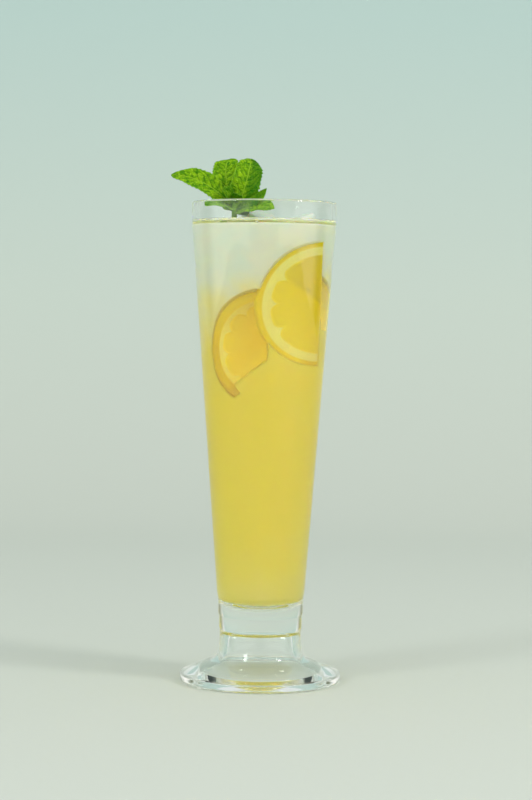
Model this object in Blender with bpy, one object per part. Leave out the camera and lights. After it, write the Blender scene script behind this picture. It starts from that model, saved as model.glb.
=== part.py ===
"""A tall footed glass of iced lemon juice with lemon slices, ice cubes and a sprig of mint.

Metres, +Z up, seen from -Y, standing on z = 0. Everything is laid out about the glass's own axis
and hangs from one empty, which sets that axis a little to the right of the origin: the sprig's
long leaf reaches out past the foot on the left, and the origin is the middle of the whole outline.
"""

import math
import random

import bmesh
import bpy
from mathutils import Matrix, Vector

mm = 0.001

# Glass
glass_height = 215 * mm
rim_radius = 32.4 * mm
rim_wall = 2.1 * mm
rim_depth = 8 * mm  # the straight band under the lip
bowl_foot_radius = 19.87 * mm
bowl_foot_height = 40.6 * mm
bowl_foot_wall = 2.5 * mm
bowl_floor = 32.5 * mm
bowl_corner = 39.3 * mm
waist_radius = 18.3 * mm
waist_low = 17.5 * mm
waist_high = 23.2 * mm
plug_radius = 18.65 * mm  # the solid band between the bowl and the hollow foot
collar_radius = 19.1 * mm
foot_radius = 36.2 * mm
foot_edge = 4.0 * mm
foot_round = 1.1 * mm
foot_slope_radius = 24.5 * mm
foot_slope_height = 8.3 * mm
hollow_mouth = 26.0 * mm
hollow_ceiling = 24.0 * mm
hollow_radius = 14.3 * mm
turned_steps = 72

# Contents
gap = 0.3 * mm
drink_level = 206 * mm
slice_steps = 26
ice_round = 2.4 * mm

# Mint
leaf_thickness = 0.5 * mm
leaf_rows = 12
leaf_columns = 6
stem_radius = 1.3 * mm
stem_low = 197 * mm
stem_high = 216.5 * mm
sprig_x = -13.5 * mm
sprig_y = 1.5 * mm
long_leaf_reach = 41.8 * mm

glass_axis_x = (long_leaf_reach - foot_radius) / 2


def clear_scene():
    for obj in list(bpy.data.objects):
        bpy.data.objects.remove(obj)


def material(name, colour, roughness, transmission=0.0):
    made = bpy.data.materials.new(name)
    made.use_nodes = True
    shader = made.node_tree.nodes["Principled BSDF"]
    shader.inputs["Base Color"].default_value = (*colour, 1)
    shader.inputs["Roughness"].default_value = roughness
    shader.inputs["Metallic"].default_value = 0
    shader.inputs["Transmission Weight"].default_value = transmission
    return made


def finished(name, bm, surface, parent):
    """The bmesh as a named object under the parent, shaded smooth up to 35 degrees."""
    bmesh.ops.recalc_face_normals(bm, faces=bm.faces)
    mesh = bpy.data.meshes.new(name)
    bm.to_mesh(mesh)
    bm.free()
    mesh.shade_smooth()
    mesh.set_sharp_from_angle(angle=math.radians(35))
    mesh.materials.append(surface)
    obj = bpy.data.objects.new(name, mesh)
    bpy.context.scene.collection.objects.link(obj)
    obj.parent = parent
    return obj


def cutter(name, bm, parent):
    obj = finished(name, bm, None, parent)
    obj.hide_render = True
    obj.display_type = "WIRE"
    return obj


def boolean(obj, operation, other):
    step = obj.modifiers.new(other.name, "BOOLEAN")
    step.operation = operation
    step.solver = "EXACT"
    step.object = other


def arc(centre, radius, start, end, steps):
    """Points (r, z) on an arc, with the angles in degrees from +r towards +z."""
    turns = [math.radians(start + (end - start) * i / steps) for i in range(steps + 1)]
    return [(centre[0] + radius * math.cos(a), centre[1] + radius * math.sin(a)) for a in turns]


def bezier(p0, p1, p2, p3, steps):
    points = []
    for i in range(steps + 1):
        t = i / steps
        weights = ((1 - t) ** 3, 3 * t * (1 - t) ** 2, 3 * t * t * (1 - t), t**3)
        points.append(tuple(sum(w * p[k] for w, p in zip(weights, (p0, p1, p2, p3))) for k in (0, 1)))
    return points


def turned(outline, closed):
    """The outline of (r, z) points turned round the glass's axis."""
    bm = bmesh.new()
    points = [bm.verts.new((r, 0, z)) for r, z in outline]
    pairs = list(zip(points, points[1:]))
    if closed:
        pairs.append((points[-1], points[0]))
    edges = [bm.edges.new(pair) for pair in pairs]
    bmesh.ops.spin(
        bm,
        geom=points + edges,
        cent=(0, 0, 0),
        axis=(0, 0, 1),
        angle=math.tau,
        steps=turned_steps,
        use_merge=True,
    )
    bmesh.ops.remove_doubles(bm, verts=bm.verts, dist=1e-6)
    return bm


def outer_radius(z):
    """The straight cone of the bowl's outside."""
    top = glass_height - rim_depth
    rise = (z - bowl_foot_height) / (top - bowl_foot_height)
    return bowl_foot_radius + (rim_radius - bowl_foot_radius) * rise


def wall(z):
    rise = (z - bowl_foot_height) / (glass_height - bowl_foot_height)
    return bowl_foot_wall + (rim_wall - bowl_foot_wall) * rise


def inner_radius(z):
    return min(outer_radius(z), rim_radius) - wall(z)


def bowl_floor_curve(clearance, steps):
    """The bowl's rounded floor, from the axis out to the corner under its wall."""
    radius = inner_radius(bowl_corner) - clearance
    points = []
    for i in range(steps + 1):
        angle = math.radians(90) * i / steps
        rise = (bowl_corner - bowl_floor) * (1 - math.cos(angle) ** 0.9)
        points.append((radius * math.sin(angle), bowl_floor + clearance + rise))
    return points


def glass_outline():
    lip = rim_wall / 2
    top = glass_height - rim_depth
    points = [(hollow_mouth, 0)]
    points += arc((foot_radius - foot_round, foot_round), foot_round, -90, 0, 3)
    points += arc((foot_radius - foot_round, foot_edge - foot_round), foot_round, 0, 70, 3)
    points += bezier(
        (foot_slope_radius, foot_slope_height),
        (19.5 * mm, 9.8 * mm),
        (waist_radius, 11 * mm),
        (waist_radius, waist_low),
        6,
    )
    points += [(waist_radius, waist_high), (plug_radius, waist_high + 0.5 * mm)]
    points += [(plug_radius, 29.6 * mm), (collar_radius, 30.4 * mm), (collar_radius, 36.4 * mm)]
    points += [(bowl_foot_radius, bowl_foot_height), (outer_radius(top), top)]
    points += arc((rim_radius - lip, glass_height - lip), lip, 0, 180, 6)
    points += [(inner_radius(top), top)]
    points += list(reversed(bowl_floor_curve(0, 7)))
    points += [(0, hollow_ceiling), (hollow_radius - 1.4 * mm, hollow_ceiling)]
    points += bezier(
        (hollow_radius, hollow_ceiling - 1.2 * mm),
        (hollow_radius + 0.2 * mm, 12 * mm),
        (17 * mm, 5.6 * mm),
        (hollow_mouth - 1 * mm, 1 * mm),
        7,
    )
    return points


def drink_outline(level):
    """What the bowl holds up to the level, a gap clear of the glass."""
    points = [(0, level), (inner_radius(level) - gap, level)]
    points += list(reversed(bowl_floor_curve(gap, 7)))
    return points


def slice_frame(middle, facing, lean, turn):
    """A lemon slice's own frame: +X along its cut edge's normal, +Z up the slice, -Y out of its face."""
    return (
        Matrix.Translation(Vector(middle) * mm)
        @ Matrix.Rotation(math.radians(facing), 4, "Z")
        @ Matrix.Rotation(math.radians(lean), 4, "X")
        @ Matrix.Rotation(math.radians(turn), 4, "Y")
    )


def slice_solid(frame, width, height, thickness, sweep, grow):
    """A sector of an oval lemon slice, from +Z round by -X, its face on y = 0, larger by grow all round."""
    heel = 0 if sweep == 180 else -grow
    points = [(grow, heel), (grow, height + grow)]
    for i in range(1, slice_steps):
        angle = math.radians(sweep) * i / slice_steps
        points.append((-(width + grow) * math.sin(angle), (height + grow) * math.cos(angle)))
    points.append((grow, -height - grow) if sweep == 180 else (-width - grow, -grow))
    bm = bmesh.new()
    face = bm.faces.new([bm.verts.new((x, -grow, z)) for x, z in points])
    grown = bmesh.ops.extrude_face_region(bm, geom=[face])["geom"]
    back = [v for v in grown if isinstance(v, bmesh.types.BMVert)]
    bmesh.ops.translate(bm, verts=back, vec=(0, thickness + 2 * grow, 0))
    bmesh.ops.transform(bm, matrix=frame, verts=bm.verts)
    return bm


def ice_solid(middle, size, turn, seed, grow):
    """A half-melted ice cube: a cube with uneven corners and broad round edges."""
    draw = random.Random(seed)
    bm = bmesh.new()
    bmesh.ops.create_cube(bm, size=size)
    for vert in bm.verts:
        vert.co *= 1 - 0.12 * draw.random()
    bmesh.ops.bevel(
        bm,
        geom=bm.edges,
        offset=ice_round,
        segments=2,
        profile=0.5,
        affect="EDGES",
        material=-1,
    )
    place = Matrix.Translation(Vector(middle) * mm)
    for angle, axis in zip(turn, "XYZ"):
        place = place @ Matrix.Rotation(math.radians(angle), 4, axis)
    scale = Matrix.Scale(1 + 2 * grow / (size * 0.88), 4)
    bmesh.ops.transform(bm, matrix=place @ scale, verts=bm.verts)
    return bm


def leaf_solid(base, bend, tip, width, face, blunt, cup, wave):
    """A mint leaf as a thin wavy solid, in millimetres: its rib leaves the stem's side at height base
    and curves past bend to tip. face points out of its upper side. blunt holds how square its outline is,
    how full its point is and, lower for broader, how wide its base is. cup folds it along its rib."""
    bend, tip, face = Vector(bend) * mm, Vector(tip) * mm, Vector(face)
    stem = Vector((sprig_x, sprig_y, base * mm))
    outward = Vector((tip.x - stem.x, tip.y - stem.y, 0)).normalized()
    base = stem + outward * (0.7 * stem_radius)
    side = (tip - base).cross(face).normalized()
    power, root, belly = blunt
    bm = bmesh.new()
    bmesh.ops.create_grid(bm, x_segments=leaf_rows, y_segments=leaf_columns, size=0.5)
    depths = {}
    for vert in bm.verts:
        t, s = vert.co.x + 0.5, vert.co.y * 2
        rib = base.lerp(bend, t).lerp(bend.lerp(tip, t), t)
        along = (bend - base).lerp(tip - bend, t).normalized()
        up = side.cross(along)
        outline = max(0.03 + 0.09 * (1 - t), (1 - abs(2 * t**belly - 1) ** power) ** root)
        fold = cup * mm * abs(s) ** 1.5 * math.sin(math.pi * t)
        ripple = wave * mm * s * s * math.sin(3 * math.tau * t + s)
        vert.co = rib + side * (0.5 * width * mm * outline * s) + up * (fold + ripple)
        depths[vert.co.to_tuple(7)] = up * leaf_thickness
    bmesh.ops.triangulate(bm, faces=bm.faces)
    grown = bmesh.ops.extrude_face_region(bm, geom=list(bm.faces))["geom"]
    lower = [v for v in grown if isinstance(v, bmesh.types.BMVert)]
    for vert in lower:
        vert.co -= depths[vert.co.to_tuple(7)]
    return bm


def stem_solid(grow):
    bm = bmesh.new()
    length = stem_high - stem_low + 2 * grow
    bmesh.ops.create_cone(
        bm,
        cap_ends=True,
        segments=10,
        radius1=stem_radius + grow,
        radius2=stem_radius * 0.9 + grow,
        depth=length,
        matrix=Matrix.Translation((sprig_x, sprig_y, (stem_low + stem_high) / 2)),
    )
    return bm


slices = {
    "lemon_slice_front": {
        "frame": slice_frame((23.9, -12.2, 169.7), 26.6, 8, 0),
        "width": 29.6 * mm,
        "height": 27.7 * mm,
        "thickness": 3.6 * mm,
        "sweep": 180,
    },
    "lemon_slice_left": {
        "frame": slice_frame((1.5, -1, 150.8), 30, 2, 0),
        "width": 26 * mm,
        "height": 25.5 * mm,
        "thickness": 4.4 * mm,
        "sweep": 180,
    },
    "lemon_slice_right": {
        "frame": slice_frame((6.5, 2.6, 158.5), -16, 0, 90),
        "width": 27 * mm,
        "height": 27 * mm,
        "thickness": 3.6 * mm,
        "sweep": 90,
    },
}

ice_cubes = {
    "ice_cube_middle": {"middle": (-1.8, 6.2, 202.2), "size": 16 * mm, "turn": (16, 10, 24), "seed": 4},
    "ice_cube_right": {"middle": (16.4, 11.4, 201.9), "size": 14.5 * mm, "turn": (8, -14, 52), "seed": 7},
    "ice_cube_left": {"middle": (-16.4, -12.2, 192.5), "size": 15 * mm, "turn": (6, 9, 38), "seed": 9},
}

leaves = (
    # The long leaf that reaches out over the rim
    {"base": 213.2, "bend": (-27, -1.5, 227.2), "tip": (-41.8, -1, 226.8), "width": 10.6,
     "face": (-0.35, -0.75, 0.6), "blunt": (2, 0.7, 0.85), "cup": 1.5, "wave": 0.3},
    # The two broad upright leaves, their ends rolled back
    {"base": 210.5, "bend": (-20.4, 1.2, 233), "tip": (-15.2, 4.6, 234.6), "width": 11.8,
     "face": (-0.15, -1, -0.1), "blunt": (3.4, 0.4, 0.65), "cup": 1.0, "wave": 0.5},
    {"base": 209.5, "bend": (-6.6, -2.2, 228), "tip": (-6.2, 4, 234.8), "width": 12.8,
     "face": (0.12, -1, 0.1), "blunt": (3.4, 0.4, 0.6), "cup": 1.0, "wave": 0.5},
    # The small leaves at the middle of the sprig
    {"base": 214.2, "bend": (-15.6, -3.2, 220), "tip": (-18.6, -6.4, 220.6), "width": 6.5,
     "face": (-0.2, -0.8, 0.6), "blunt": (2, 0.75, 0.85), "cup": 0.6, "wave": 0.15},
    {"base": 213.6, "bend": (-12, -3.8, 217.6), "tip": (-11.8, -7, 218.4), "width": 5.5,
     "face": (0.2, -0.8, 0.6), "blunt": (2, 0.75, 0.85), "cup": 0.6, "wave": 0.15},
    # The little leaf at the right, and the leaves that lie inside the rim
    {"base": 211.4, "bend": (-3.5, -3, 213), "tip": (0.8, -4.6, 221), "width": 7.5,
     "face": (0.1, -0.7, 0.7), "blunt": (2, 0.75, 0.85), "cup": 0.5, "wave": 0.15},
    {"base": 210.2, "bend": (-4, -5.5, 213.4), "tip": (4.4, -9.5, 211.4), "width": 11,
     "face": (0, -0.6, 1), "blunt": (2, 0.72, 0.85), "cup": 0.8, "wave": 0.2},
    {"base": 210.6, "bend": (-20, -5, 214.4), "tip": (-26, -8.5, 212.8), "width": 11,
     "face": (-0.2, -0.6, 1), "blunt": (2, 0.7, 0.85), "cup": 0.8, "wave": 0.2},
)


def build_glass(parent):
    surface = material("clear_glass", (0.93, 0.97, 0.95), 0.02, transmission=1.0)
    return finished("glass", turned(glass_outline(), closed=True), surface, parent)


def build_slices(parent, bowl_room):
    peel = material("lemon_peel", (0.87, 0.62, 0.02), 0.4)
    for name, shape in slices.items():
        solid = finished(name, slice_solid(grow=0, **shape), peel, parent)
        boolean(solid, "INTERSECT", bowl_room)


def build_ice(parent, bowl_room):
    ice = material("ice", (0.9, 0.95, 0.93), 0.08, transmission=1.0)
    for name, shape in ice_cubes.items():
        solid = finished(name, ice_solid(grow=0, **shape), ice, parent)
        boolean(solid, "INTERSECT", bowl_room)


def build_drink(parent):
    """The juice up to its level, cut round the slices, the ice and the sprig's stem."""
    juice = material("lemon_juice", (0.75, 0.62, 0.12), 0.15, transmission=0.5)
    drink = finished("drink", turned(drink_outline(drink_level), closed=False), juice, parent)
    for name, shape in slices.items():
        boolean(drink, "DIFFERENCE", cutter("room_" + name, slice_solid(grow=gap, **shape), parent))
    for name, shape in ice_cubes.items():
        boolean(drink, "DIFFERENCE", cutter("room_" + name, ice_solid(grow=gap, **shape), parent))
    boolean(drink, "DIFFERENCE", cutter("room_stem", stem_solid(gap), parent))


def keep_largest_shell(mesh):
    """Drops the loose scraps and the sealed pockets that joined blades can leave."""
    bm = bmesh.new()
    bm.from_mesh(mesh)
    left = set(bm.faces)
    shells = []
    while left:
        stack = [left.pop()]
        shell = list(stack)
        while stack:
            near = {f for edge in stack.pop().edges for f in edge.link_faces} & left
            left -= near
            stack += near
            shell += near
        shells.append(shell)
    largest = max(shells, key=len)
    loose = [f for shell in shells if shell is not largest for f in shell]
    bmesh.ops.delete(bm, geom=loose, context="FACES")
    bm.to_mesh(mesh)
    bm.free()


def build_mint(parent):
    """The sprig in one piece: the leaves are joined to the stem by one union, which is then applied."""
    green = material("mint_leaf", (0.16, 0.36, 0.03), 0.45)
    sprig = finished("mint_sprig", stem_solid(0), green, parent)
    blades = bpy.data.collections.new("mint_blades")
    bpy.context.scene.collection.children.link(blades)
    for number, shape in enumerate(leaves):
        blade = finished("mint_blade_%d" % number, leaf_solid(**shape), green, parent)
        bpy.context.scene.collection.objects.unlink(blade)
        blades.objects.link(blade)
    step = sprig.modifiers.new("join_blades", "BOOLEAN")
    step.operation = "UNION"
    step.operand_type = "COLLECTION"
    step.collection = blades
    step.solver = "MANIFOLD"
    graph = bpy.context.evaluated_depsgraph_get()
    joined = bpy.data.meshes.new_from_object(sprig.evaluated_get(graph))
    keep_largest_shell(joined)
    sprig.modifiers.clear()
    sprig.data = joined
    for blade in list(blades.objects):
        bpy.data.objects.remove(blade)
    bpy.data.collections.remove(blades)


def build_serving():
    clear_scene()
    serving = bpy.data.objects.new("serving", None)
    bpy.context.scene.collection.objects.link(serving)
    serving.location.x = glass_axis_x
    bowl_room = cutter("bowl_room", turned(drink_outline(glass_height), closed=False), serving)
    build_glass(serving)
    build_slices(serving, bowl_room)
    build_ice(serving, bowl_room)
    build_drink(serving)
    build_mint(serving)


build_serving()
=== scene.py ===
import math
import random

import bmesh
import bpy
from mathutils import Matrix, Vector


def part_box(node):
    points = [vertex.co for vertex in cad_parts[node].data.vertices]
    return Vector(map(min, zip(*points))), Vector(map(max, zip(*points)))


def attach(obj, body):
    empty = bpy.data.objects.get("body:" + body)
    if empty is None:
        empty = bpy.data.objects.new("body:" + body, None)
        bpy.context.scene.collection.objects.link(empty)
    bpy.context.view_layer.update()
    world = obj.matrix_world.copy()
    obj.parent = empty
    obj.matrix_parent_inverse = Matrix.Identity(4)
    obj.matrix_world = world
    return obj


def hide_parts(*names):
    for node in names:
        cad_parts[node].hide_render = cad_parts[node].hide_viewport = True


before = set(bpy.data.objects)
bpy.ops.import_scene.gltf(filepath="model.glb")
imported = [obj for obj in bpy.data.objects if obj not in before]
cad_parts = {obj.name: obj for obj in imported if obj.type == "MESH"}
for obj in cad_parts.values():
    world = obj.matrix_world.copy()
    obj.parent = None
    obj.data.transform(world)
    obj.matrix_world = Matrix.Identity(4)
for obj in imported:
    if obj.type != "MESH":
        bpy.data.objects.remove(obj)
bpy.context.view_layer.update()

mm = 0.001
glassLow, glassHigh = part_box("glass")
axisX = (glassLow.x + glassHigh.x) / 2
toAxis = Matrix.Translation((axisX, 0, 0))


# Small helpers

def smoothStep(low, high, value):
    t = min(max((value - low) / (high - low), 0), 1)
    return t * t * (3 - 2 * t)


def mix(a, b, t):
    return a + (b - a) * t


def arc(centre, radius, start, end, steps):
    turns = [math.radians(mix(start, end, i / steps)) for i in range(steps + 1)]
    return [(centre[0] + radius * math.cos(a), centre[1] + radius * math.sin(a)) for a in turns]


def bezier(p0, p1, p2, p3, steps):
    points = []
    for i in range(steps + 1):
        t = i / steps
        weights = ((1 - t) ** 3, 3 * t * (1 - t) ** 2, 3 * t * t * (1 - t), t**3)
        points.append(tuple(sum(w * p[k] for w, p in zip(weights, (p0, p1, p2, p3))) for k in (0, 1)))
    return points


def turned(outline, steps, closed):
    # outline holds (radius, height) in mm and is turned about the glass's axis
    bm = bmesh.new()
    points = [bm.verts.new((r * mm, 0, z * mm)) for r, z in outline]
    pairs = list(zip(points, points[1:]))
    if closed:
        pairs.append((points[-1], points[0]))
    edges = [bm.edges.new(pair) for pair in pairs]
    bmesh.ops.spin(
        bm,
        geom=points + edges,
        cent=(0, 0, 0),
        axis=(0, 0, 1),
        angle=math.tau,
        steps=steps,
        use_merge=True,
    )
    bmesh.ops.remove_doubles(bm, verts=bm.verts, dist=1e-6)
    bmesh.ops.transform(bm, matrix=toAxis, verts=bm.verts)
    return bm


def makePiece(name, bm, material, node, sharpAngle=40):
    bmesh.ops.recalc_face_normals(bm, faces=bm.faces)
    mesh = bpy.data.meshes.new(name)
    bm.to_mesh(mesh)
    bm.free()
    mesh.shade_smooth()
    if sharpAngle:
        mesh.set_sharp_from_angle(angle=math.radians(sharpAngle))
    mesh.materials.append(material)
    piece = bpy.data.objects.new(name, mesh)
    bpy.context.scene.collection.objects.link(piece)
    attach(piece, "root")
    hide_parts(node)


def newMaterial(name, **values):
    material = bpy.data.materials.new(name)
    material.use_nodes = True
    shader = material.node_tree.nodes["Principled BSDF"]
    for key, value in values.items():
        shader.inputs[key.replace("_", " ")].default_value = value
    return material, material.node_tree.nodes, material.node_tree.links, shader


def ramp(nodes, stops):
    node = nodes.new("ShaderNodeValToRGB")
    elements = node.color_ramp.elements
    while len(elements) > 1:
        elements.remove(elements[-1])
    for i, (position, colour) in enumerate(stops):
        element = elements[0] if i == 0 else elements.new(position)
        element.position = position
        element.color = (*colour, 1)
    return node


def mapRange(nodes, links, source, low, high, newLow=0, newHigh=1):
    node = nodes.new("ShaderNodeMapRange")
    node.inputs["From Min"].default_value = low
    node.inputs["From Max"].default_value = high
    node.inputs["To Min"].default_value = newLow
    node.inputs["To Max"].default_value = newHigh
    links.new(source, node.inputs["Value"])
    return node.outputs["Result"]


def noise(nodes, links, vector, scale, detail=2, roughness=0.5):
    node = nodes.new("ShaderNodeTexNoise")
    node.inputs["Scale"].default_value = scale
    node.inputs["Detail"].default_value = detail
    node.inputs["Roughness"].default_value = roughness
    links.new(vector, node.inputs["Vector"])
    return node.outputs["Fac"]


def bump(nodes, links, height, strength, distance, shader):
    node = nodes.new("ShaderNodeBump")
    node.inputs["Strength"].default_value = strength
    node.inputs["Distance"].default_value = distance
    links.new(height, node.inputs["Height"])
    links.new(node.outputs["Normal"], shader.inputs["Normal"])


def maths(nodes, links, operation, *values):
    # values are either numbers or sockets
    node = nodes.new("ShaderNodeMath")
    node.operation = operation
    for socket, value in zip(node.inputs, values):
        if isinstance(value, (int, float)):
            socket.default_value = value
        else:
            links.new(value, socket)
    return node.outputs[0]


def blendColour(nodes, links, factor, a, b):
    # a and b are either colours or sockets
    node = nodes.new("ShaderNodeMix")
    node.data_type = "RGBA"
    links.new(factor, node.inputs[0])
    for socket, value in ((node.inputs[6], a), (node.inputs[7], b)):
        if isinstance(value, tuple):
            socket.default_value = (*value, 1)
        else:
            links.new(value, socket)
    return node.outputs[2]


# Camera

cameraSettings = {
    # In m from the foot of the glass's axis, then degrees, then mm
    "place": (1.55 * mm, -0.9210, 0.1674),
    "pitchDown": 2.547,
    "roll": 0.567,
    "lens": 92.27,
}


def makeCamera(s):
    data = bpy.data.cameras.new("camera")
    data.lens = s["lens"]
    data.sensor_width = 36
    data.clip_start = 0.01
    camera = bpy.data.objects.new("camera", data)
    bpy.context.scene.collection.objects.link(camera)
    x, y, z = s["place"]
    camera.matrix_world = (
        Matrix.Translation((axisX + x, y, z))
        @ Matrix.Rotation(math.radians(90 - s["pitchDown"]), 4, "X")
        @ Matrix.Rotation(math.radians(s["roll"]), 4, "Z")
    )
    bpy.context.scene.camera = camera


makeCamera(cameraSettings)
print("camera placed")


# Studio

backdropSettings = {
    # Height in m and colour, from the floor up
    "stops": ((0, (0.575, 0.615, 0.565)), (0.18, (0.56, 0.645, 0.595)), (0.46, (0.485, 0.64, 0.62))),
    "floorDrop": 0.2 * mm,  # on one level with the foot, the floor would black it out
    "floorReach": 1.6,
    "wallReach": 1.45,
    "wallDistance": 1.15,
    "wallHeight": 1.6,
    "coveRadius": 0.6,
}


def makeBackdrop(s):
    # One sheet: floor, cove and back wall
    bm = bmesh.new()
    radius, distance = s["coveRadius"], s["wallDistance"]
    low = -s["floorDrop"]
    section = [(-s["floorReach"], low), (distance - radius, low)]
    section += arc((distance - radius, radius + low), radius, -90, 0, 24)[1:]
    section.append((distance, s["wallHeight"]))
    reaches = [s["floorReach"] if z <= low else s["wallReach"] for y, z in section]
    rows = [[bm.verts.new((side * x, y, z)) for x, (y, z) in zip(reaches, section)] for side in (-1, 1)]
    for i in range(len(section) - 1):
        bm.faces.new((rows[0][i], rows[1][i], rows[1][i + 1], rows[0][i + 1]))
    mesh = bpy.data.meshes.new("backdrop")
    bm.to_mesh(mesh)
    bm.free()
    mesh.shade_smooth()
    material, nodes, links, shader = newMaterial("backdrop", Roughness=0.9)
    coords = nodes.new("ShaderNodeTexCoord")
    split = nodes.new("ShaderNodeSeparateXYZ")
    links.new(coords.outputs["Object"], split.inputs[0])
    highest = s["stops"][-1][0]
    colours = ramp(nodes, [(z / highest, colour) for z, colour in s["stops"]])
    links.new(mapRange(nodes, links, split.outputs["Z"], 0, highest), colours.inputs[0])
    links.new(colours.outputs[0], shader.inputs["Base Color"])
    mesh.materials.append(material)
    backdrop = bpy.data.objects.new("backdrop", mesh)
    bpy.context.scene.collection.objects.link(backdrop)


roomSettings = {
    "top": (0.76, 0.80, 0.79),
    "side": (1.06, 1.10, 1.07),
    "front": (1.14, 1.10, 1.04),
    "behindCamera": (0.36, 0.37, 0.35),
    "farSides": (0.16, 0.18, 0.11),
    "strength": 1.0,
}


def makeRoom(s):
    world = bpy.data.worlds.new("studio")
    bpy.context.scene.world = world
    world.use_nodes = True
    nodes, links = world.node_tree.nodes, world.node_tree.links
    background = nodes["Background"]
    background.inputs["Strength"].default_value = s["strength"]
    coords = nodes.new("ShaderNodeTexCoord")
    split = nodes.new("ShaderNodeSeparateXYZ")
    links.new(coords.outputs["Generated"], split.inputs[0])
    up = mapRange(nodes, links, split.outputs["Z"], -0.2, 0.8)
    light = blendColour(nodes, links, up, s["side"], s["top"])
    front = mapRange(nodes, links, split.outputs["Y"], -0.1, -0.6)
    light = blendColour(nodes, links, front, light, s["front"])
    nearCamera = mapRange(nodes, links, split.outputs["Y"], -0.88, -0.95)
    light = blendColour(nodes, links, nearCamera, light, s["behindCamera"])
    # The room is darker far out on both sides, which draws thin dark lines in the edges of the glass
    across = maths(nodes, links, "ABSOLUTE", split.outputs["X"])
    aside = mapRange(nodes, links, across, 0.76, 0.92)
    behind = mapRange(nodes, links, split.outputs["Y"], 0.0, 0.25)
    farSide = maths(nodes, links, "MULTIPLY", aside, behind)
    light = blendColour(nodes, links, farSide, light, s["farSides"])
    links.new(light, background.inputs["Color"])


lightSettings = {
    "keyLight": {"place": (0.95, -0.5, 0.85), "size": 0.24, "energy": 5.0, "colour": (1.0, 0.98, 0.94)},
    "fillLight": {"place": (-0.85, -0.7, 0.8), "size": 0.24, "energy": 3.0, "colour": (0.94, 1.0, 0.98)},
}


def makeLights(lights):
    for name, s in lights.items():
        data = bpy.data.lights.new(name, "AREA")
        data.size = s["size"]
        data.energy = s["energy"]
        data.color = s["colour"]
        light = bpy.data.objects.new(name, data)
        bpy.context.scene.collection.objects.link(light)
        light.location = s["place"]
        aim = Vector((axisX, 0, 0.1)) - light.location
        light.rotation_euler = aim.to_track_quat("-Z", "Y").to_euler()


makeBackdrop(backdropSettings)
makeRoom(roomSettings)
makeLights(lightSettings)
view = bpy.context.scene.view_settings
view.view_transform = "Standard"
cycles = bpy.context.scene.cycles
cycles.use_denoising = True
cycles.max_bounces = 96  # light goes round and round inside the foot's ring
cycles.diffuse_bounces = 12
cycles.transmission_bounces = 80
cycles.glossy_bounces = 80
cycles.transparent_max_bounces = 12
cycles.volume_bounces = 8
cycles.blur_glossy = 0
print("studio built")


# Glass

glassSettings = {
    # Radii and heights in mm
    "height": 215,
    "rimRadius": 32.4,
    "rimWall": 2.1,
    "rimDepth": 8,
    "bowlFoot": (19.87, 40.6),
    "bowlFootWall": 2.5,
    "bowlFloor": 32.5,
    "bowlCorner": 39.3,
    "waistRadius": 18.3,
    "waistLow": 17.5,
    "waistHigh": 23.2,
    "plugRadius": 18.65,
    "plugTop": 29.4,
    "collarRadius": 19.1,
    "collarLow": 30.4,
    "collarHigh": 36.0,
    "footRadius": 36.2,
    "footEdge": 4.0,
    "footRound": 1.1,
    "footSlope": (24.5, 8.3),
    "hollowMouth": 26.0,
    "hollowCeiling": 24.0,
    "hollowRadius": 14.3,
    "ceilingRadius": 12.8,
    "ceilingSag": 1.7,
    "steps": 160,
    "colour": (0.975, 0.995, 0.985),
}


def outerRadius(z, s=glassSettings):
    footRadius, footHeight = s["bowlFoot"]
    return mix(footRadius, s["rimRadius"], (z - footHeight) / (s["height"] - s["rimDepth"] - footHeight))


def innerRadius(z, s=glassSettings):
    footHeight = s["bowlFoot"][1]
    wall = mix(s["bowlFootWall"], s["rimWall"], (z - footHeight) / (s["height"] - footHeight))
    return min(outerRadius(z, s), s["rimRadius"]) - wall


def floorCurve(clearance, steps, s=glassSettings):
    radius = innerRadius(s["bowlCorner"], s) - clearance
    points = []
    for i in range(steps + 1):
        angle = math.pi / 2 * i / steps
        rise = (s["bowlCorner"] - s["bowlFloor"]) * (1 - math.cos(angle) ** 0.9)
        points.append((radius * math.sin(angle), s["bowlFloor"] + clearance + rise))
    return points


def glassOutline(s):
    lip = s["rimWall"] / 2
    top = s["height"] - s["rimDepth"]
    foot, edge = s["footRadius"], s["footRound"]
    waist, plug, collar = s["waistRadius"], s["plugRadius"], s["collarRadius"]
    points = [(s["hollowMouth"], 0)]
    points += arc((foot - edge, edge), edge, -90, 0, 8)
    points += arc((foot - edge, s["footEdge"] - edge), edge, 0, 70, 8)
    points += bezier(s["footSlope"], (19.5, 9.8), (waist, 11), (waist, s["waistLow"]), 22)
    points += [(waist, s["waistHigh"]), (waist + 0.1, s["waistHigh"] + 0.2)]
    points += [(plug, s["waistHigh"] + 0.6), (plug, s["plugTop"]), (plug + 0.1, s["plugTop"] + 0.3)]
    points += [(collar, s["collarLow"]), (collar, s["collarHigh"]), (collar + 0.06, s["collarHigh"] + 0.6)]
    footRadius, footHeight = s["bowlFoot"]
    points += [(footRadius, footHeight)]
    for i in range(1, 12):
        z = mix(footHeight, top, i / 11)
        points.append((outerRadius(z, s), z))
    points += arc((s["rimRadius"] - lip, s["height"] - lip), lip, 0, 180, 16)
    for i in range(12):
        z = mix(top, s["bowlCorner"] + 1, i / 11)
        points.append((innerRadius(z, s), z))
    points += list(reversed(floorCurve(0, 24, s)))
    ceiling, reach = s["hollowCeiling"], s["ceilingRadius"]
    radii = (0, 3, 5, 7, 8.5, 10, 11, 12, reach)
    points += [(r, ceiling - s["ceilingSag"] * (r / reach) ** 2.6) for r in radii]
    points += bezier(
        (s["hollowRadius"] - 0.7, ceiling - 2.5),
        (s["hollowRadius"] + 0.2, 12),
        (17, 5.6),
        (s["hollowMouth"] - 1, 1),
        22,
    )
    return points


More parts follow.
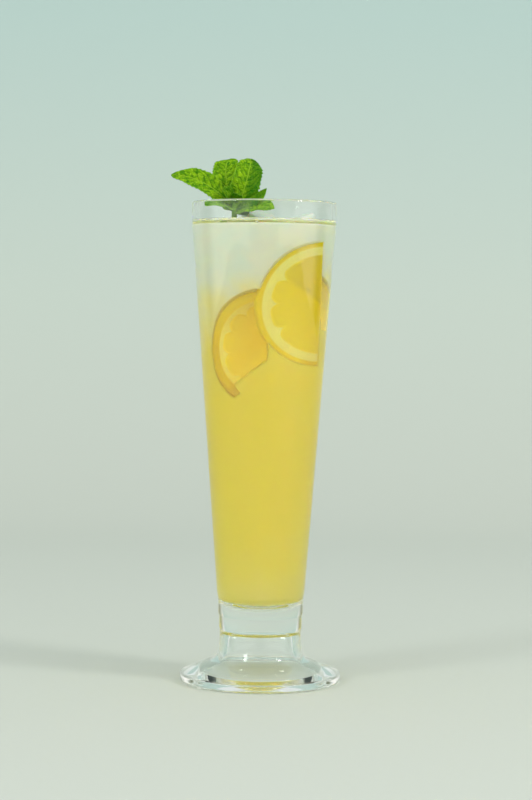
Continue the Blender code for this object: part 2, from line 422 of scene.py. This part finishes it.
def makeGlass(s):
    material, nodes, links, shader = newMaterial(
        "clear_glass", Base_Color=(*s["colour"], 1), Roughness=0.0, IOR=1.5, Transmission_Weight=1.0
    )
    coords = nodes.new("ShaderNodeTexCoord")
    ripple = noise(nodes, links, coords.outputs["Object"], 45, 1)
    bump(nodes, links, ripple, 0.08, 0.0006, shader)
    makePiece("glass_blown", turned(glassOutline(s), s["steps"], True), material, "glass", 34)


makeGlass(glassSettings)
print("glass turned")


# Juice

juiceSettings = {
    "level": 206,
    "intoWall": 0.15,
    "meniscus": 0.9,
    "steps": 128,
    "tint": (0.99, 0.98, 0.86),
    "scatterColour": (0.98, 0.90, 0.20),
    "scatterDensity": 7,
    "absorbColour": (0.97, 0.91, 0.10),
    "absorbDensity": 32,
    # The clear skin over the cloudy body, in mm
    "cloudGap": 0.35,
    "cloudGapHigh": 0.4,
    "cloudDrop": 1.1,
    "pitLean": 0.25,
    "pitCurl": 0.09,
    "pitLow": 118,
    "pitReach": 3,
    "icyColour": (0.80, 0.865, 0.88),
    "slant": 0.22,
    # Height in mm and colour of the cloudy body, from the floor up
    "cloudStops": (
        (33, (0.865, 0.765, 0.21)),
        (50, (0.875, 0.765, 0.13)),
        (70, (0.885, 0.755, 0.06)),
        (130, (0.905, 0.765, 0.04)),
        (150, (0.91, 0.79, 0.10)),
        (160, (0.905, 0.80, 0.26)),
        (167, (0.905, 0.83, 0.38)),
        (175, (0.885, 0.855, 0.57)),
        (183, (0.865, 0.875, 0.83)),
        (206, (0.855, 0.875, 0.88)),
    ),
}

# Each slice's middle, turn and size in mm, as its solid has them
sliceSettings = {
    "lemon_slice_front": {
        "middle": (23.9, -12.2, 169.7), "facing": 26.6, "lean": 8, "turn": 0,
        "width": 29.6, "height": 27.7, "thickness": 3.6, "sweep": 180,
        "peel": 2.3, "pith": 3.6, "membranes": (0, 57, 90, 123, 180),
        "pitEdge": 0.3, "pitFloor": 0.7, "glow": 0.02,
        "peelColours": ((0.88, 0.64, 0.0), (0.96, 0.82, 0.01)),
    },
    "lemon_slice_left": {
        "middle": (1.5, -1, 150.8), "facing": 30, "lean": 2, "turn": 0,
        "width": 26, "height": 25.5, "thickness": 4.4, "sweep": 180,
        "peel": 4.4, "pith": 2.0, "membranes": (0, 32, 66, 101, 140, 180),
        "pitEdge": 0.25, "pitFloor": 2.0, "glow": 0.14,
        "peelColours": ((0.84, 0.65, 0.0), (0.93, 0.79, 0.0)),
    },
    "lemon_slice_right": {
        "middle": (6.5, 2.6, 158.5), "facing": -16, "lean": 0, "turn": 90,
        "width": 27, "height": 27, "thickness": 3.6, "sweep": 90,
        "peel": 2.3, "pith": 3.4, "membranes": (0, 34, 68, 90),
        "pitEdge": 0.3, "pitFloor": 1.0, "glow": 0.14,
        "peelColours": ((0.92, 0.82, 0.04), (0.95, 0.88, 0.08)),
    },
}


def sliceFrame(s):
    return (
        Matrix.Translation(Vector(s["middle"]) * mm)
        @ Matrix.Rotation(math.radians(s["facing"]), 4, "Z")
        @ Matrix.Rotation(math.radians(s["lean"]), 4, "X")
        @ Matrix.Rotation(math.radians(s["turn"]), 4, "Y")
    )


def buried(x, z):
    # The lower right of the left slice sinks into the cloudy body, below this slanting line
    return z - (144 + 0.96 * x)


def pit(point, s):
    # The step in mm from this point of the cloudy body's surface down to the faces of the slices.
    # The pits narrow a little towards the glass's axis.
    azimuth = math.atan2(point.x, -point.y)
    turn = azimuth * (s["pitLean"] + s["pitCurl"] * azimuth * azimuth)
    inward = Vector((-math.sin(turn), math.cos(turn), 0))
    deepest = 0
    for name, lemon in sliceSettings.items():
        place, width = sliceFrame(lemon), lemon["width"]
        normal = place.to_3x3() @ Vector((0, 1, 0))
        depth = (Vector(lemon["middle"]) - point).dot(normal) / inward.dot(normal)
        hit = point + inward * depth
        local = (place.inverted() @ (hit * mm)) / mm
        radius = math.hypot(local.x / width, local.z / lemon["height"]) * width
        beyond = max(radius - width, local.x)
        if lemon["sweep"] == 90:
            beyond = max(beyond, -local.z)
        mask = 1 - smoothStep(-0.35, lemon["pitEdge"], beyond)
        if name == "lemon_slice_left":
            # The rind's lower tip stays bare
            bare = buried(hit.x, hit.z) + 6 * smoothStep(width - 5, width - 2.5, radius)
            mask *= smoothStep(-0.35, 0.35, bare)
        if name == "lemon_slice_right":
            mask *= smoothStep(width - 14, width - 11, radius)
        deepest = max(deepest, mask * (depth + lemon["pitFloor"]))
    return inward * deepest


def makeClearJuice(s):
    level, reach = s["level"], s["intoWall"]
    wallRadius = innerRadius(level) + reach
    outline = [(0, level), (wallRadius - 3.2, level)]
    outline += [(wallRadius - 3.2 * (1 - t / 8), level + s["meniscus"] * (t / 8) ** 2.4) for t in range(1, 9)]
    for i in range(1, 14):
        z = mix(level, glassSettings["bowlCorner"] + 1, i / 13)
        outline.append((innerRadius(z) + reach, z))
    outline += list(reversed(floorCurve(-reach, 24)))
    material, nodes, links, shader = newMaterial(
        "lemon_juice", Base_Color=(*s["tint"], 1), Roughness=0.0, IOR=1.34, Transmission_Weight=1.0
    )
    scatter = nodes.new("ShaderNodeVolumeScatter")
    scatter.inputs["Color"].default_value = (*s["scatterColour"], 1)
    scatter.inputs["Density"].default_value = s["scatterDensity"]
    absorb = nodes.new("ShaderNodeVolumeAbsorption")
    absorb.inputs["Color"].default_value = (*s["absorbColour"], 1)
    absorb.inputs["Density"].default_value = s["absorbDensity"]
    both = nodes.new("ShaderNodeAddShader")
    links.new(scatter.outputs[0], both.inputs[0])
    links.new(absorb.outputs[0], both.inputs[1])
    links.new(both.outputs[0], nodes["Material Output"].inputs["Volume"])
    makePiece("juice", turned(outline, s["steps"], False), material, "drink", 50)


def cloudRadius(z, s):
    return innerRadius(z) - mix(s["cloudGap"], s["cloudGapHigh"], smoothStep(172, 186, z))


def makeCloudyBody(s):
    # It stands just inside the clear juice and opens in pits where the slices show
    top = s["level"] - s["cloudDrop"]
    outline = [(i / 12 * (innerRadius(top) - 2.5), top) for i in range(13)]
    outline += arc((cloudRadius(top, s) - 1, top - 1), 1, 90, 0, 5)
    heights = [mix(top - 1, 122, i / 210) for i in range(1, 211)]
    heights += [mix(122, glassSettings["bowlCorner"] + 1, i / 24) for i in range(1, 25)]
    outline += [(cloudRadius(z, s), z) for z in heights]
    outline += list(reversed(floorCurve(s["cloudGap"], 24)))
    bm = turned(outline, 2 * s["steps"], False)
    for vert in bm.verts:
        point = Vector((vert.co.x - axisX, vert.co.y, vert.co.z)) / mm
        # Columns crowd towards the side where the slices lie
        angle = math.atan2(point.x, -point.y)
        angle -= 0.5 * math.sin(angle)
        reach = math.hypot(point.x, point.y)
        point.x, point.y = reach * math.sin(angle), -reach * math.cos(angle)
        if point.y < 0 and s["pitLow"] < point.z < top - 1:
            point += pit(point, s)
            point.y = min(point.y, s["pitReach"])
        vert.co = Vector((axisX, 0, 0)) + point * mm
    material, nodes, links, shader = newMaterial(
        "cloudy_pulp", Roughness=0.6, Subsurface_Weight=0.6, Subsurface_Scale=0.006
    )
    shader.inputs["Subsurface Radius"].default_value = (1.0, 0.85, 0.3)
    coords = nodes.new("ShaderNodeTexCoord")
    split = nodes.new("ShaderNodeSeparateXYZ")
    links.new(coords.outputs["Object"], split.inputs[0])
    lowest, highest = s["cloudStops"][0][0], s["cloudStops"][-1][0]
    height = mapRange(nodes, links, split.outputs["Z"], lowest * mm, highest * mm)
    drift = noise(nodes, links, coords.outputs["Object"], 60, 3)
    shift = mapRange(nodes, links, drift, 0.3, 0.7, -0.05, 0.05)
    wavy = maths(nodes, links, "ADD", height, shift)
    # The yellow stands higher on the right
    slant = -s["slant"] / ((highest - lowest) * mm)
    slanted = maths(nodes, links, "MULTIPLY_ADD", split.outputs["X"], slant, wavy)
    colours = ramp(nodes, [((z - lowest) / (highest - lowest), c) for z, c in s["cloudStops"]])
    links.new(slanted, colours.inputs[0])
    # The top is mottled, paler and cooler over the ice
    mottle = mapRange(nodes, links, noise(nodes, links, coords.outputs["Object"], 95, 4, 0.6), 0.42, 0.62)
    icy = mapRange(nodes, links, split.outputs["Z"], 172 * mm, 188 * mm)
    icyPatches = maths(nodes, links, "MULTIPLY", mottle, icy)
    body = blendColour(nodes, links, icyPatches, colours.outputs[0], s["icyColour"])
    links.new(body, shader.inputs["Base Color"])
    makePiece("juice_cloud", bm, material, "drink", 0)


makeClearJuice(juiceSettings)
makeCloudyBody(juiceSettings)
print("juice poured")


# Lemon slices

def fleshDepth(angle, radius, s):
    # Distance in mm inside the nearest flesh segment, with its outer corners rounded
    outer = s["width"] - s["peel"] - s["pith"]
    near = min(s["membranes"], key=lambda m: abs(m - angle))
    corner = 3.2
    across = 3.0
    if near not in (0, s["sweep"]):
        membrane = mix(-1.2, 0.7, smoothStep(outer * 0.72, outer * 0.98, radius))
        across = radius * math.sin(math.radians(min(abs(angle - near), 89))) - membrane
    inward = outer - radius
    dx, dy = max(corner - across, 0), max(corner - inward, 0)
    return corner - math.hypot(dx, dy) if (dx and dy) else min(across, inward)


def lemonMaterial(glow, peelColours):
    # glow is painted light: an emission that makes up for the light that a slice loses at the bottom of its
    # pit
    material, nodes, links, shader = newMaterial(
        "lemon_slice", Roughness=0.5, Subsurface_Weight=0.3, Subsurface_Scale=0.002
    )
    shader.inputs["Subsurface Radius"].default_value = (1.0, 0.8, 0.2)
    shader.inputs["Specular IOR Level"].default_value = 0.1
    zones = nodes.new("ShaderNodeAttribute")
    zones.attribute_name = "zones"
    split = nodes.new("ShaderNodeSeparateColor")
    links.new(zones.outputs["Color"], split.inputs[0])
    uv = nodes.new("ShaderNodeUVMap")
    uv.uv_map = "sacs"
    coords = nodes.new("ShaderNodeTexCoord")
    sacs = nodes.new("ShaderNodeTexVoronoi")
    sacs.inputs["Scale"].default_value = 1
    links.new(uv.outputs[0], sacs.inputs["Vector"])
    tone = mapRange(nodes, links, sacs.outputs["Distance"], 0.0, 0.7)
    flesh = blendColour(nodes, links, tone, (0.98, 0.80, 0.01), (0.94, 0.76, 0.02))
    olive = blendColour(nodes, links, tone, (0.74, 0.60, 0.04), (0.70, 0.57, 0.05))
    flesh = blendColour(nodes, links, split.outputs["Blue"], flesh, olive)
    patches = noise(nodes, links, coords.outputs["Object"], 140, 2)
    pith = blendColour(nodes, links, patches, (1.0, 0.89, 0.28), (1.0, 0.95, 0.45))
    peel = blendColour(nodes, links, patches, *peelColours)
    body = blendColour(nodes, links, split.outputs["Red"], pith, flesh)
    body = blendColour(nodes, links, split.outputs["Green"], body, peel)
    # Where this is low, the slice takes a pale juice colour and a bright painted glow: painted light against
    # the shade in its pit
    ownVsPaintedGlow = zones.outputs["Alpha"]
    body = blendColour(nodes, links, ownVsPaintedGlow, (0.96, 0.92, 0.22), body)
    links.new(body, shader.inputs["Base Color"])
    # Painted glow: the emission colour is the slice's own colour, amber on the peel, and a bright pale yellow
    # where the slice fades
    paintedGlow = blendColour(nodes, links, split.outputs["Green"], body, (0.75, 0.64, 0.0))
    paintedGlow = blendColour(nodes, links, ownVsPaintedGlow, (1.5, 1.3, 0.1), paintedGlow)
    links.new(paintedGlow, shader.inputs["Emission Color"])
    shader.inputs["Emission Strength"].default_value = glow
    pores = noise(nodes, links, coords.outputs["Object"], 900, 2)
    bump(nodes, links, pores, 0.2, 0.0002, shader)
    return material


def keepInBowl(bm, clearance):
    # Nothing reaches past the inside of the glass's wall
    for vert in bm.verts:
        x, y = vert.co.x - axisX, vert.co.y
        reach = math.hypot(x, y)
        room = (innerRadius(vert.co.z / mm) - clearance) * mm
        if reach > room:
            vert.co.x = axisX + x * room / reach
            vert.co.y = y * room / reach


def makeSlice(name, s, material):
    outer, sweep = s["width"], s["sweep"]
    angularSteps = int(sweep * 1.25)
    radii = [outer * (i / 78) for i in range(79)]
    bm = bmesh.new()
    zones = bm.loops.layers.float_color.new("zones")
    sacs = bm.loops.layers.uv.new("sacs")
    fleshOuter = outer - s["peel"] - s["pith"]
    columns = []
    polar = {}  # each vertex's angle and radius
    centres = [bm.verts.new((0, s["thickness"] * side * mm, 0)) for side in (0, 1)]
    for centre in centres:
        polar[centre] = (0, 0)
    for i in range(angularSteps + 1):
        angle = sweep * i / angularSteps
        turn = math.radians(angle)
        column = []
        for side in (0, 1):
            row = [centres[side]]
            for radius in radii[1:]:
                depth = fleshDepth(angle, radius, s)
                swell = 0.28 * smoothStep(0, 1.4, depth) - 0.16
                if radius > fleshOuter:
                    swell = -0.16 + 0.10 * smoothStep(fleshOuter, fleshOuter + 1.2, radius)
                edge = max(radius - (outer - 1.6), 0) / 1.6
                rounding = 0.225 * s["thickness"] * (1 - math.sqrt(max(1 - edge * edge, 0)))
                y = -swell + rounding
                if side:
                    y = s["thickness"] - y
                z = radius / outer * s["height"] * math.cos(turn)
                vert = bm.verts.new((-radius * math.sin(turn) * mm, y * mm, z * mm))
                polar[vert] = (angle, radius)
                row.append(vert)
            column.append(row)
        columns.append(column)
    for left, right in zip(columns, columns[1:]):
        for side in (0, 1):
            a, b = left[side], right[side]
            bm.faces.new((a[0], a[1], b[1]))
            for j in range(1, len(radii) - 1):
                bm.faces.new((a[j], a[j + 1], b[j + 1], b[j]))
        bm.faces.new((left[0][-1], left[1][-1], right[1][-1], right[0][-1]))
    for column in (columns[0], columns[-1]):
        for j in range(len(radii) - 1):
            bm.faces.new((column[0][j], column[0][j + 1], column[1][j + 1], column[1][j]))
    bmesh.ops.transform(bm, matrix=toAxis @ sliceFrame(s), verts=bm.verts)
    for face in bm.faces:
        for loop in face.loops:
            angle, radius = polar[loop.vert]
            depth = fleshDepth(angle, radius, s)
            flesh = smoothStep(-0.1, 0.5, depth)
            peel = smoothStep(outer - s["peel"] - 0.35, outer - s["peel"] + 0.35, radius)
            olive = 0
            if name == "lemon_slice_front":
                # The top segment is duller, and a seed has left a notch near the middle
                olive = 0.5 - 0.5 * smoothStep(50, 60, angle)
                across, along = radius * math.sin(math.radians(angle)), radius * math.cos(math.radians(angle))
                notch = math.hypot((across - 7) / 2.2, (along - 7 - 0.5 * (across - 7)) / 1.1)
                olive = max(olive, 0.9 * (1 - smoothStep(0.5, 1.1, notch)))
            ownVsPaintedGlow = 1
            if name == "lemon_slice_left":
                # It fades towards the part that the cloudy body hides, with a pale juice colour and more
                # painted glow against the shade there
                spot = loop.vert.co
                ownVsPaintedGlow = mix(0.45, 0.85, smoothStep(-0.5, 11, buried((spot.x - axisX) / mm, spot.z / mm)))
                # The rind's top and lower tip get more painted glow, against the shade of the pit's walls
                ends = max(smoothStep(150, 172, spot.z / mm), 1 - smoothStep(127, 138, spot.z / mm))
                ownVsPaintedGlow = mix(ownVsPaintedGlow, 1 - 0.65 * ends, smoothStep(outer - 5, outer - 4, radius))
            if name == "lemon_slice_right":
                # The right slice gets a strong painted glow all over, against the shade of its narrow pit
                ownVsPaintedGlow = mix(0.35, 0.5, peel)
            loop[zones] = (flesh, peel, olive, ownVsPaintedGlow)
            loop[sacs].uv = (angle * 0.22, radius * 0.16)
    keepInBowl(bm, 0.3)
    makePiece(name.replace("lemon_slice", "slice"), bm, material, name, 60)


for sliceName, sliceSetting in sliceSettings.items():
    makeSlice(sliceName, sliceSetting, lemonMaterial(sliceSetting["glow"], sliceSetting["peelColours"]))
print("slices cut")


# Ice

iceSettings = {
    "ice_cube_middle": {"middle": (-1.8, 6.2, 202.2), "size": 16, "turn": (16, 10, 24), "seed": 4},
    "ice_cube_right": {"middle": (16.4, 11.4, 201.9), "size": 14.5, "turn": (8, -14, 52), "seed": 7},
    "ice_cube_left": {"middle": (-16.4, -12.2, 192.5), "size": 15, "turn": (6, 9, 38), "seed": 9},
}


def makeIce(shapes):
    material, nodes, links, shader = newMaterial(
        "ice", Base_Color=(0.86, 0.93, 0.82, 1), Roughness=0.25, IOR=1.31, Transmission_Weight=0.35,
        Subsurface_Weight=0.5, Subsurface_Scale=0.004,
    )
    coords = nodes.new("ShaderNodeTexCoord")
    frost = noise(nodes, links, coords.outputs["Object"], 220, 4)
    bump(nodes, links, frost, 0.3, 0.0008, shader)
    for name, s in shapes.items():
        draw = random.Random(s["seed"])
        bm = bmesh.new()
        bmesh.ops.create_cube(bm, size=s["size"] * mm)
        for vert in bm.verts:
            vert.co *= 1 - 0.12 * draw.random()
        bmesh.ops.bevel(
            bm, geom=bm.edges, offset=2.4 * mm, segments=6, profile=0.5, affect="EDGES", material=-1
        )
        bmesh.ops.subdivide_edges(bm, edges=bm.edges, cuts=2, use_grid_fill=True)
        place = toAxis @ Matrix.Translation(Vector(s["middle"]) * mm)
        for angle, axis in zip(s["turn"], "XYZ"):
            place = place @ Matrix.Rotation(math.radians(angle), 4, axis)
        bmesh.ops.transform(bm, matrix=place, verts=bm.verts)
        keepInBowl(bm, 1.0)
        makePiece(name.replace("ice_cube", "ice"), bm, material, name, 60)


makeIce(iceSettings)
print("ice dropped in")


# Mint

mintSettings = {
    "stemRadius": 1.3,
    "stemLow": 197,
    "stemHigh": 216.5,
    "stem": (-13.5, 1.5),
    "thickness": 0.36,
    "rows": 64,
    "columns": 44,
    "veins": 9,
    "serrations": 15,
}
leafShapes = (
    # The long leaf that reaches out over the rim
    {"base": 213.2, "bend": (-27, -1.5, 227.2), "tip": (-41.8, -1, 226.8), "width": 10.6,
     "face": (-0.35, -0.75, 0.6), "blunt": (2, 0.7, 0.85), "cup": 1.5, "wave": 0.3},
    # The two broad upright leaves, their ends rolled back; the right one has painted shade on one half
    {"base": 210.5, "bend": (-20.4, 1.2, 233), "tip": (-15.2, 4.6, 234.6), "width": 11.8,
     "face": (-0.15, -1, -0.1), "blunt": (3.4, 0.4, 0.65), "cup": 1.0, "wave": 0.5, "frill": 1.5},
    {"base": 209.5, "bend": (-6.6, -2.2, 228), "tip": (-6.2, 4, 234.8), "width": 12.8,
     "face": (0.12, -1, 0.1), "blunt": (3.4, 0.4, 0.6), "cup": 1.0, "wave": 0.5, "frill": 1.3,
     "shadedHalf": 0.6},
    # The small leaves at the middle of the sprig, with painted shade
    {"base": 214.2, "bend": (-15.6, -3.2, 220), "tip": (-18.6, -6.4, 220.6), "width": 6.5, "tone": 0.6,
     "face": (-0.2, -0.8, 0.6), "blunt": (2, 0.75, 0.85), "cup": 0.6, "wave": 0.15},
    {"base": 213.6, "bend": (-12, -3.8, 217.6), "tip": (-11.8, -7, 218.4), "width": 5.5, "tone": 0.5,
     "face": (0.2, -0.8, 0.6), "blunt": (2, 0.75, 0.85), "cup": 0.6, "wave": 0.15},
    # The little leaf at the right, with painted shade, and the leaves that lie inside the rim
    {"base": 211.4, "bend": (-3.5, -3, 213), "tip": (0.8, -4.6, 221), "width": 7.5, "tone": 0.5,
     "face": (0.1, -0.7, 0.7), "blunt": (2, 0.75, 0.85), "cup": 0.5, "wave": 0.15},
    {"base": 210.2, "bend": (-4, -5.5, 213.4), "tip": (4.4, -9.5, 211.4), "width": 11,
     "face": (0, -0.6, 1), "blunt": (2, 0.72, 0.85), "cup": 0.8, "wave": 0.2},
    {"base": 210.6, "bend": (-20, -5, 214.4), "tip": (-26, -8.5, 212.8), "width": 11,
     "face": (-0.2, -0.6, 1), "blunt": (2, 0.7, 0.85), "cup": 0.8, "wave": 0.2},
)


def addLeaf(bm, leaf, s, number):
    uvLayer = bm.loops.layers.uv.verify()
    reliefLayer = bm.loops.layers.float_color["relief"]
    bend, tip, face = Vector(leaf["bend"]), Vector(leaf["tip"]), Vector(leaf["face"])
    stem = Vector((*s["stem"], leaf["base"]))
    outward = Vector((tip.x - stem.x, tip.y - stem.y, 0)).normalized()
    base = stem + outward * (0.7 * s["stemRadius"])
    side = (tip - base).cross(face).normalized()
    rows, columns = s["rows"], s["columns"]
    size = leaf["width"] / 14
    grids = []
    for level in (0, -s["thickness"]):
        grid = []
        for i in range(rows + 1):
            t = i / rows
            rib = base.lerp(bend, t).lerp(bend.lerp(tip, t), t)
            along = (bend - base).lerp(tip - bend, t).normalized()
            up = side.cross(along)
            power, root, belly = leaf["blunt"]
            outline = max(0.03 + 0.09 * (1 - t), (1 - abs(2 * t**belly - 1) ** power) ** root)
            tooth = 1 - ((t * s["serrations"]) % 1)
            bite = 0.11 + 0.05 * math.sin(5 * int(t * s["serrations"]) + number)
            row = []
            for j in range(columns + 1):
                v = 2 * j / columns - 1
                reach = outline * (1 + bite * (tooth - 0.5) * smoothStep(0.75, 1, abs(v)))
                frill = 0.3 * math.sin(9 * v + number) + 0.2 * math.sin(21 * v - number) - 0.5
                frill *= leaf.get("frill", 0) * smoothStep(0.72, 1, t)
                fold = leaf["cup"] * abs(v) ** 1.5 * math.sin(math.pi * t)
                ripple = leaf["wave"] * v * v * math.sin(3 * math.tau * t + v)
                waver = 0.05 * math.sin(5 * v + 9 * t + number) + 0.03 * math.sin(13 * t - 11 * v)
                veinAlong = t - 0.30 * abs(v) ** 1.2 * (1 - 0.3 * t) + waver * abs(v)
                puff = abs(math.sin(math.pi * (veinAlong * s["veins"] + number * 0.37))) ** 0.55
                pillow = 0.42 * size * puff * smoothStep(0.02, 0.2, abs(v))
                pillow *= 1 - 0.55 * smoothStep(0.7, 1, abs(v))
                pillow *= smoothStep(0, 0.1, t) * smoothStep(1, 0.9, t)
                place = rib + side * (0.5 * leaf["width"] * reach * v) + along * frill
                place += up * (fold + ripple + pillow + level)
                vert = bm.verts.new(place * mm)
                vein = max(1 - smoothStep(0.02, 0.09, abs(v)), 1 - puff**0.35)
                # Painted shade: tone darkens whole leaves, and shadedHalf darkens one half of a leaf
                tone = leaf.get("tone", 1) - leaf.get("shadedHalf", 0) * smoothStep(0, 0.3, v)
                row.append((vert, (t, v * 0.5 + 0.5 + number * 2), (puff, vein, abs(v), tone)))
            grid.append(row)
        grids.append(grid)

    def quad(corners):
        built = bm.faces.new([corner[0] for corner in corners])
        for loop, corner in zip(built.loops, corners):
            loop[uvLayer].uv = corner[1]
            loop[reliefLayer] = corner[2]

    top, under = grids
    for i in range(rows):
        for j in range(columns):
            quad((top[i][j], top[i][j + 1], top[i + 1][j + 1], top[i + 1][j]))
            quad((under[i][j], under[i + 1][j], under[i + 1][j + 1], under[i][j + 1]))
    for i in range(rows):
        quad((top[i][0], top[i + 1][0], under[i + 1][0], under[i][0]))
        quad((top[i + 1][columns], top[i][columns], under[i][columns], under[i + 1][columns]))
    for j in range(columns):
        quad((top[0][j + 1], top[0][j], under[0][j], under[0][j + 1]))
        quad((top[rows][j], top[rows][j + 1], under[rows][j + 1], under[rows][j]))


def mintMaterial():
    material, nodes, links, shader = newMaterial(
        "mint_leaf", Roughness=0.5, Specular_IOR_Level=0.1, Subsurface_Weight=0.12, Subsurface_Scale=0.001
    )
    shader.inputs["Subsurface Radius"].default_value = (0.5, 1.0, 0.1)
    relief = nodes.new("ShaderNodeAttribute")
    relief.attribute_name = "relief"
    split = nodes.new("ShaderNodeSeparateColor")
    links.new(relief.outputs["Color"], split.inputs[0])
    coords = nodes.new("ShaderNodeTexCoord")
    patches = mapRange(nodes, links, noise(nodes, links, coords.outputs["Object"], 420, 4, 0.6), 0.36, 0.64)
    cells = nodes.new("ShaderNodeTexVoronoi")
    cells.feature = "DISTANCE_TO_EDGE"
    cells.inputs["Scale"].default_value = 800
    links.new(coords.outputs["Object"], cells.inputs["Vector"])
    net = mapRange(nodes, links, cells.outputs["Distance"], 0.0, 0.22)
    puffed = blendColour(nodes, links, patches, (0.05, 0.22, 0.0), (0.27, 0.50, 0.004))
    # Painted shade: darker in the creases between the puffs
    raised = mapRange(nodes, links, split.outputs["Red"], 0.15, 0.75)
    creaseShaded = blendColour(nodes, links, raised, (0.025, 0.13, 0.0), puffed)
    # Painted glints: small bright specks over the leaf
    specks = mapRange(nodes, links, noise(nodes, links, coords.outputs["Object"], 1300, 3, 0.6), 0.56, 0.72)
    speckGlinted = blendColour(nodes, links, specks, creaseShaded, (0.42, 0.66, 0.03))
    veins = mapRange(nodes, links, split.outputs["Green"], 0.55, 0.95)
    veined = blendColour(nodes, links, veins, speckGlinted, (0.26, 0.46, 0.02))
    # Painted highlight: a lighter line along the leaf's edges
    rim = mapRange(nodes, links, split.outputs["Blue"], 0.9, 1.0)
    edgeHighlighted = blendColour(nodes, links, rim, veined, (0.20, 0.42, 0.02))
    # Painted shade: darker leaves among the bigger ones, and one darker half
    leafShaded = blendColour(nodes, links, relief.outputs["Alpha"], (0.014, 0.14, 0.0), edgeHighlighted)
    links.new(leafShaded, shader.inputs["Base Color"])
    bump(nodes, links, net, 0.8, 0.00022, shader)
    return material


def makeMint(s, leaves):
    bm = bmesh.new()
    bm.loops.layers.uv.new("leaf")
    bm.loops.layers.float_color.new("relief")
    for number, leaf in enumerate(leaves):
        addLeaf(bm, leaf, s, number)
    stemMiddle = Vector((*s["stem"], (s["stemHigh"] + s["stemLow"]) / 2)) * mm
    bmesh.ops.create_cone(
        bm,
        cap_ends=True,
        segments=20,
        radius1=s["stemRadius"] * mm,
        radius2=s["stemRadius"] * 0.9 * mm,
        depth=(s["stemHigh"] - s["stemLow"]) * mm,
        matrix=Matrix.Translation(stemMiddle),
    )
    bmesh.ops.transform(bm, matrix=toAxis, verts=bm.verts)
    makePiece("mint", bm, mintMaterial(), "mint_sprig", 60)


makeMint(mintSettings, leafShapes)
print("mint placed")


# Bubbles

bubbleSettings = {
    "count": 46,
    "seed": 11,
    "smallest": 0.25,
    "largest": 0.7,
    # Bigger ones under the front of the rim: sideways place, height and size in mm
    "large": ((-3.2, 205, 1.2), (5.4, 201.8, 1.1), (13.2, 204.6, 1.2), (22.8, 203.6, 1.5), (-14, 199.5, 0.9)),
}


def makeBubbles(s):
    draw = random.Random(s["seed"])
    bm = bmesh.new()
    spots = [(math.asin(x / innerRadius(z)) - math.pi / 2, z, size) for x, z, size in s["large"]]
    for i in range(s["count"]):
        angle, drop = draw.uniform(0, math.tau), abs(draw.gauss(0, 7))
        spots.append((angle, 205.4 - drop, draw.uniform(s["smallest"], s["largest"])))
    for angle, z, size in spots:
        radius = innerRadius(z) - size / 2 - 0.1
        place = (math.cos(angle) * radius * mm, math.sin(angle) * radius * mm, z * mm)
        bmesh.ops.create_uvsphere(
            bm, u_segments=16, v_segments=10, radius=size * mm / 2, matrix=Matrix.Translation(place)
        )
    bmesh.ops.transform(bm, matrix=toAxis, verts=bm.verts)
    material = newMaterial(
        "bubble", Base_Color=(0.95, 0.97, 0.88, 1), Roughness=0.02, IOR=1.6, Transmission_Weight=1.0
    )[0]
    makePiece("bubbles", bm, material, "drink", 0)


makeBubbles(bubbleSettings)
print("bubbles added")
